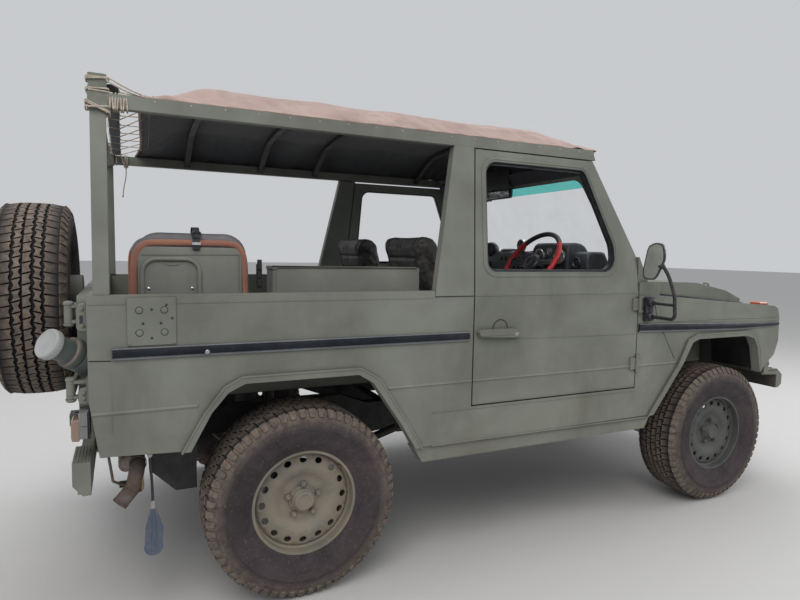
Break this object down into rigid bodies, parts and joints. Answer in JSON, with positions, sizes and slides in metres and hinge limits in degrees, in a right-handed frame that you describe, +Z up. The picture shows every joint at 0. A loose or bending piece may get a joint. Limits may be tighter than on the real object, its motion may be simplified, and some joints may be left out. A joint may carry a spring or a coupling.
{
  "type": "army 4x4 car",
  "caption": "Short open-sided army 4x4 car with a canvas roof on bows, half-height rear door with a spare wheel, fold-up bench seats and right-hand drive.",
  "frame": {"origin": "on the ground under the middle of the overall length, on the car's centre line", "axes": "+X forward, +Y to the car's left, +Z up"},
  "size_m": [4.11, 2.058, 2.0498],
  "materials": {
    "paint": "matte olive paint, dusty",
    "black_metal": "black underbody paint",
    "dark_steel": "dull worn steel",
    "engine_iron": "dull cast iron",
    "tyre": "dusty tyre rubber",
    "rubber": "dull black rubber",
    "canvas": "sun-bleached canvas",
    "rope": "pale laid rope",
    "blue_plastic": "dusty blue-grey plastic",
    "seat_cover": "worn dark vinyl",
    "black_plastic": "matt black plastic",
    "glass": "clear glass",
    "lamp_glass": "ribbed lamp glass",
    "signal_plastic": "amber and red lamp plastic"
  },
  "bodies": {
    "body": {"chassis_rails": "black_metal", "chassis_crossmembers": "black_metal", "floor_pan": "paint", "wheel_houses": "black_metal", "quarter_panels": "paint", "sills": "paint", "b_pillars": "paint", "roof_rails": "paint", "roof_bows": "paint", "rear_posts": "paint", "canvas_top": "canvas", "windscreen_frame": "paint", "windscreen_glass": "glass", "cowl": "paint", "front_fenders": "paint", "grille_panel": "paint", "headlamps": "lamp_glass", "signal_lamps": "signal_plastic", "front_bumper": "black_metal", "rear_bumper": "black_metal", "rear_panel": "paint", "engine_block": "engine_iron", "gearbox_and_shafts": "engine_iron", "fuel_tank": "black_metal", "exhaust": "dark_steel", "front_axle": "black_metal", "rear_axle": "black_metal", "suspension": "black_metal", "rear_hinges": "paint", "fuel_filler": "paint", "dashboard": "black_plastic", "seat_frames": "paint", "seat_pads": "seat_cover", "locker": "paint", "rub_strips": "rubber", "mirrors": "black_plastic", "strap": "rubber", "strap_blade": "blue_plastic", "rope_knot": "rope", "rope_tail": "rope"},
    "wheel_front_right": {"tyre_front_right": "tyre", "rim_front_right": "paint"},
    "wheel_front_left": {"tyre_front_left": "tyre", "rim_front_left": "paint"},
    "wheel_rear_right": {"tyre_rear_right": "tyre", "rim_rear_right": "paint"},
    "wheel_rear_left": {"tyre_rear_left": "tyre", "rim_rear_left": "paint"},
    "steer_knuckle_right": {"knuckle_right": "black_metal"},
    "steer_knuckle_left": {"knuckle_left": "black_metal"},
    "steering_tie_rod": {"tie_rod": "black_metal"},
    "driver_wheel": {"steering_wheel": "black_plastic"},
    "side_door_right": {"door_right": "paint"},
    "side_door_left": {"door_left": "paint"},
    "engine_lid": {"bonnet": "paint"},
    "tail_door": {"rear_door": "paint", "tyre_spare": "tyre", "rim_spare": "paint"}
  },
  "joints": [
    {"name": "steer_right", "type": "hinge", "parent": "body", "child": "steer_knuckle_right", "pos_m": [1.415, -0.62, 0.385], "axis": [0, 0, 1], "range_deg": [-30, 30]},
    {"name": "steer_left", "type": "hinge", "parent": "body", "child": "steer_knuckle_left", "pos_m": [1.415, 0.62, 0.385], "axis": [0, 0, 1], "range_deg": [-30, 30]},
    {"name": "tie_rod_swing", "type": "hinge", "parent": "steer_knuckle_right", "child": "steering_tie_rod", "pos_m": [1.265, -0.62, 0.303], "axis": [0, 0, 1], "range_deg": [-30, 30]},
    {"name": "steering_wheel_turn", "type": "hinge", "parent": "body", "child": "driver_wheel", "pos_m": [0.415, -0.37, 1.337], "axis": [0.8192, 0, -0.5736], "range_deg": [-480, 480]},
    {"name": "roll_front_right", "type": "hinge", "parent": "steer_knuckle_right", "child": "wheel_front_right", "pos_m": [1.415, -0.7125, 0.385], "axis": [0, 1, 0], "continuous": true},
    {"name": "roll_front_left", "type": "hinge", "parent": "steer_knuckle_left", "child": "wheel_front_left", "pos_m": [1.415, 0.7125, 0.385], "axis": [0, 1, 0], "continuous": true},
    {"name": "roll_rear_right", "type": "hinge", "parent": "body", "child": "wheel_rear_right", "pos_m": [-0.985, -0.7125, 0.385], "axis": [0, 1, 0], "continuous": true},
    {"name": "roll_rear_left", "type": "hinge", "parent": "body", "child": "wheel_rear_left", "pos_m": [-0.985, 0.7125, 0.385], "axis": [0, 1, 0], "continuous": true},
    {"name": "door_right_swing", "type": "hinge", "parent": "body", "child": "side_door_right", "pos_m": [0.72, -0.86, 0.99], "axis": [0, 0, 1], "range_deg": [0, 65]},
    {"name": "door_left_swing", "type": "hinge", "parent": "body", "child": "side_door_left", "pos_m": [0.72, 0.86, 0.99], "axis": [0, 0, -1], "range_deg": [0, 65]},
    {"name": "bonnet_lift", "type": "hinge", "parent": "body", "child": "engine_lid", "pos_m": [0.869, 0, 1.251], "axis": [0, -1, 0], "range_deg": [0, 60]},
    {"name": "rear_door_swing", "type": "hinge", "parent": "body", "child": "tail_door", "pos_m": [-1.785, -0.78, 1.02], "axis": [0, 0, 1], "range_deg": [0, 100]}
  ],
  "couplings": [
    {"joint": "steer_left", "follows": "steer_right", "ratio": 1},
    {"joint": "tie_rod_swing", "follows": "steer_right", "ratio": -1},
    {"joint": "steering_wheel_turn", "follows": "steer_right", "ratio": -16}
  ]
}
